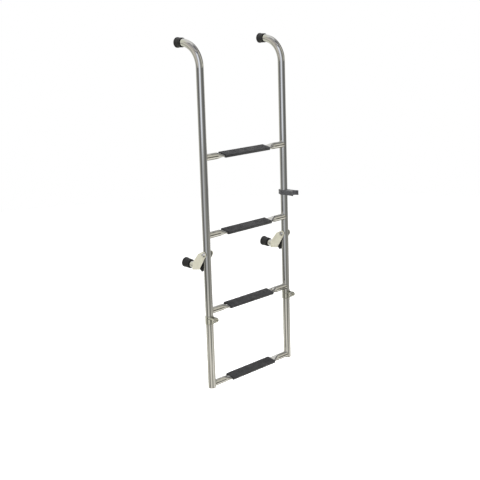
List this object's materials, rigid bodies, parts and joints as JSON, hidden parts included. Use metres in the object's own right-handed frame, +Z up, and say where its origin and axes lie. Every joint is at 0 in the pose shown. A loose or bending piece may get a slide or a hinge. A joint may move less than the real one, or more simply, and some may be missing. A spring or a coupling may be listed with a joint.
{
  "type": "folding transom ladder",
  "caption": "Folding boarding ladder of polished tube for a boat's stern, with hooked rails, ribbed treads, swivelling stand-off legs, side hinges and a retaining clip.",
  "frame": {"origin": "middle of the flat end face of the left rail's rubber top foot, which bears on the boat", "axes": "+X to the right along the rungs, +Y back towards the boat, +Z up along the rails"},
  "size_m": [0.432, 0.1599, 1.1514],
  "materials": {
    "rail_steel": "polished",
    "cast_steel": "cast and polished",
    "fork_steel": "polished sheet",
    "bolt_steel": "polished",
    "tread_plastic": "ribbed",
    "foot_rubber": "moulded",
    "clip_plastic": "moulded",
    "spacer_plastic": "smooth"
  },
  "bodies": {
    "upper_ladder": {"left_rail": "rail_steel", "right_rail": "rail_steel", "left_top_foot": "foot_rubber", "right_top_foot": "foot_rubber", "rung_1": "rail_steel", "rung_2": "rail_steel", "rung_3": "rail_steel", "tread_1": "tread_plastic", "tread_2": "tread_plastic", "tread_3": "tread_plastic", "left_upper_hinge": "cast_steel", "right_upper_hinge": "cast_steel", "left_hinge_pin": "cast_steel", "right_hinge_pin": "cast_steel", "left_leg_bolt": "bolt_steel", "right_leg_bolt": "bolt_steel", "left_leg_nut": "bolt_steel", "right_leg_nut": "bolt_steel", "left_leg_spacers": "spacer_plastic", "right_leg_spacers": "spacer_plastic", "retaining_clip": "clip_plastic", "clip_screw": "bolt_steel"},
    "lower_section": {"left_lower_rail": "rail_steel", "right_lower_rail": "rail_steel", "left_lower_hinge": "cast_steel", "right_lower_hinge": "cast_steel", "rung_4": "rail_steel", "tread_4": "tread_plastic"},
    "left_leg": {"left_leg_fork": "fork_steel", "left_leg_tube": "rail_steel", "left_leg_foot": "foot_rubber", "left_leg_stop": "foot_rubber"},
    "right_leg": {"right_leg_fork": "fork_steel", "right_leg_tube": "rail_steel", "right_leg_foot": "foot_rubber", "right_leg_stop": "foot_rubber"}
  },
  "joints": [
    {"name": "lower_fold", "type": "hinge", "parent": "upper_ladder", "child": "lower_section", "pos_m": [0.1935, -0.1243, -0.8951], "axis": [-1, 0, 0], "range_deg": [0, 180]},
    {"name": "left_leg_swivel", "type": "hinge", "parent": "upper_ladder", "child": "left_leg", "pos_m": [0, -0.0984, -0.6738], "axis": [1, 0, 0], "range_deg": [-6, 84]},
    {"name": "right_leg_swivel", "type": "hinge", "parent": "upper_ladder", "child": "right_leg", "pos_m": [0.387, -0.0984, -0.6738], "axis": [1, 0, 0], "range_deg": [-6, 84]}
  ]
}
